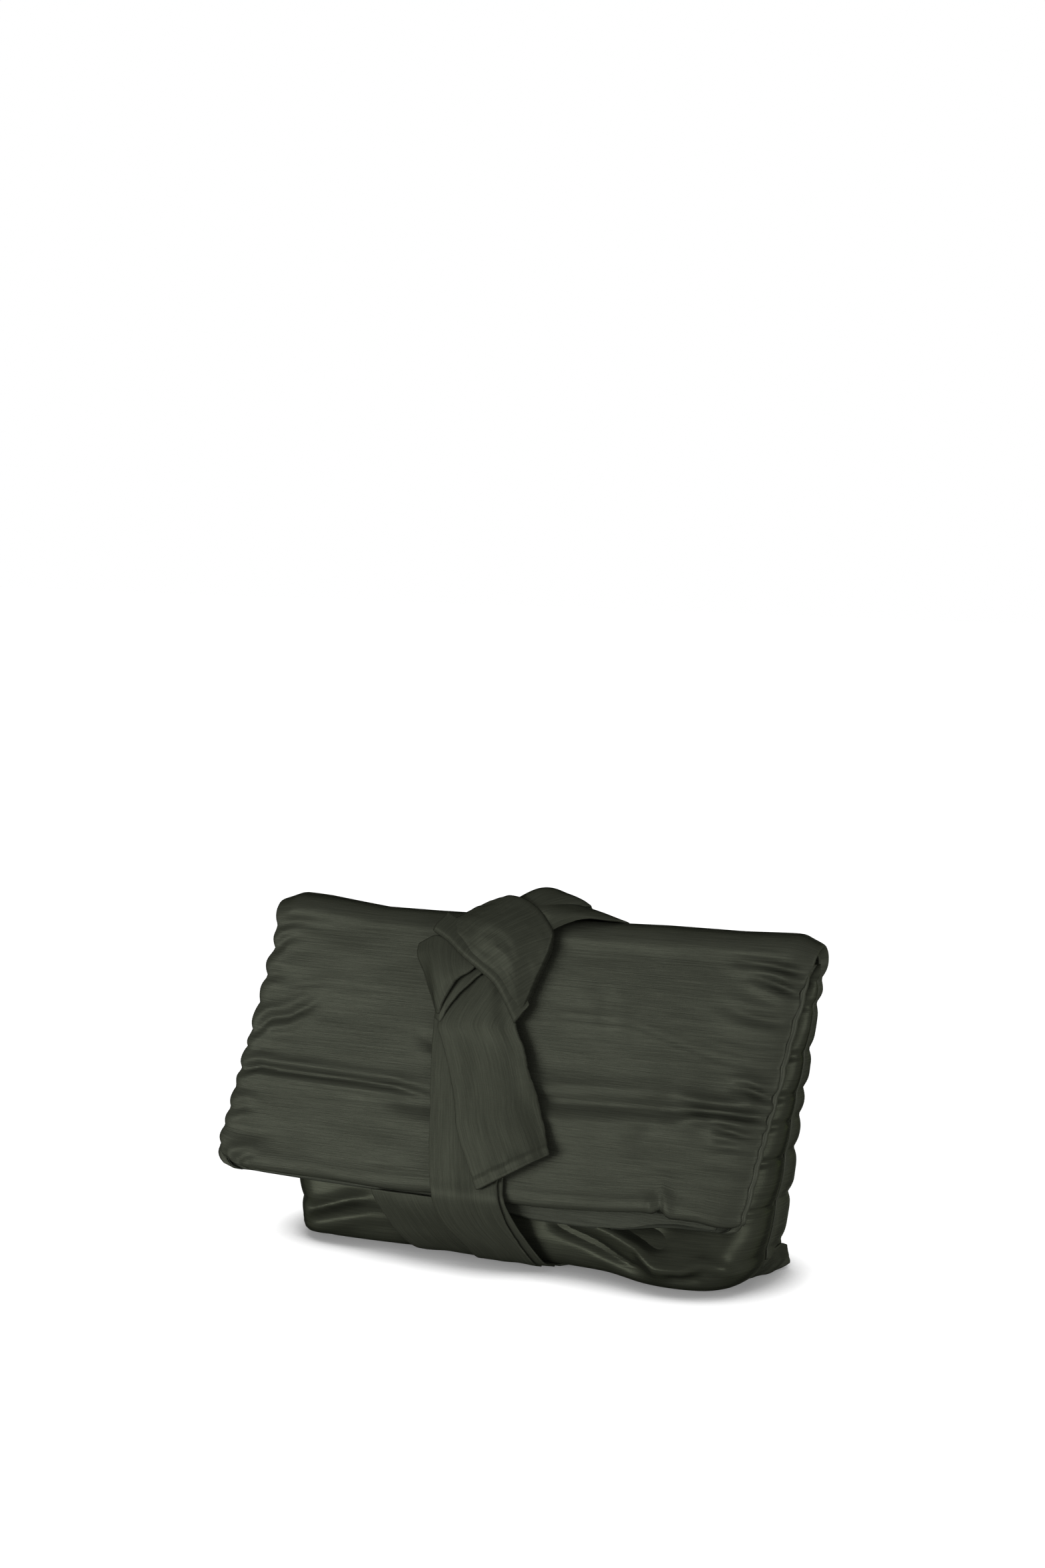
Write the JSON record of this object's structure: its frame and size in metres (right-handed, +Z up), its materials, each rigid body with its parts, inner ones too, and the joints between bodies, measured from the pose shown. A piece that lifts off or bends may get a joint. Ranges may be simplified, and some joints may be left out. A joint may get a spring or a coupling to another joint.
{
  "type": "gift sack",
  "caption": "Fold-over padded fabric gift sack: the upper half turns down over the front and a wide satin sash, knotted at the fold, runs round it and lets one tail hang",
  "frame": {"origin": "middle of the footprint's bounding box, on the surface that the sack stands on", "axes": "+X along the fold, to the right as seen from the front; -Y out of the front, where the flap hangs; +Z up"},
  "size_m": [0.325, 0.0835, 0.1899],
  "materials": {
    "outer_satin": "heavy dark olive satin with fine slubs along its width",
    "sash_satin": "doubled dark olive satin strip with pressed edges",
    "hem_satin": "turned and stitched satin hem",
    "seam_binding": "bound satin seam edge",
    "lining_cloth": "plain dark lining cloth",
    "wadding": "soft fibre wadding"
  },
  "bodies": {
    "sack": {"front_panel": "outer_satin", "back_panel": "outer_satin", "front_wadding": "wadding", "back_wadding": "wadding", "front_lining": "lining_cloth", "back_lining": "lining_cloth", "side_seam_left": "seam_binding", "side_seam_right": "seam_binding", "corner_tuck_left": "outer_satin", "corner_tuck_right": "outer_satin"},
    "flap": {"flap_front_panel": "outer_satin", "flap_front_wadding": "wadding", "flap_front_lining": "lining_cloth", "flap_inner_panel": "outer_satin", "flap_inner_wadding": "wadding", "flap_inner_lining": "lining_cloth", "mouth_hem_front": "hem_satin", "mouth_hem_inner": "hem_satin", "flap_seam_left": "seam_binding", "flap_seam_right": "seam_binding", "fold_outer": "outer_satin", "fold_inner": "outer_satin"},
    "sash_rear": {"sash_back_strand": "sash_satin", "sash_under_strand": "sash_satin", "sash_top_strand": "sash_satin"},
    "sash_front": {"sash_front_strand": "sash_satin", "sash_front_pleat": "sash_satin", "sash_knot_wrap": "sash_satin", "sash_knot_loop": "sash_satin"},
    "sash_tail": {"sash_tail": "sash_satin"}
  },
  "joints": [
    {"name": "flap_fold", "type": "hinge", "parent": "sack", "child": "flap", "pos_m": [0.0115, 0.0151, 0.163], "axis": [-1, 0, 0], "range_deg": [0, 145], "deforming": ["fold_outer", "fold_inner"]},
    {"name": "sash_slide", "type": "slide", "parent": "sack", "child": "sash_rear", "axis": [1, 0, 0], "range_m": [-0.222, 0.222]},
    {"name": "sash_fold", "type": "hinge", "parent": "sash_rear", "child": "sash_front", "pos_m": [0.0115, 0.0151, 0.163], "axis": [-1, 0, 0], "range_deg": [0, 145], "deforming": ["sash_top_strand"]},
    {"name": "tail_lift", "type": "hinge", "parent": "sash_front", "child": "sash_tail", "pos_m": [-0.0095, -0.0111, 0.1245], "axis": [-1, 0, 0], "range_deg": [0, 100]}
  ],
  "couplings": [
    {"joint": "sash_fold", "follows": "flap_fold", "ratio": 1}
  ]
}
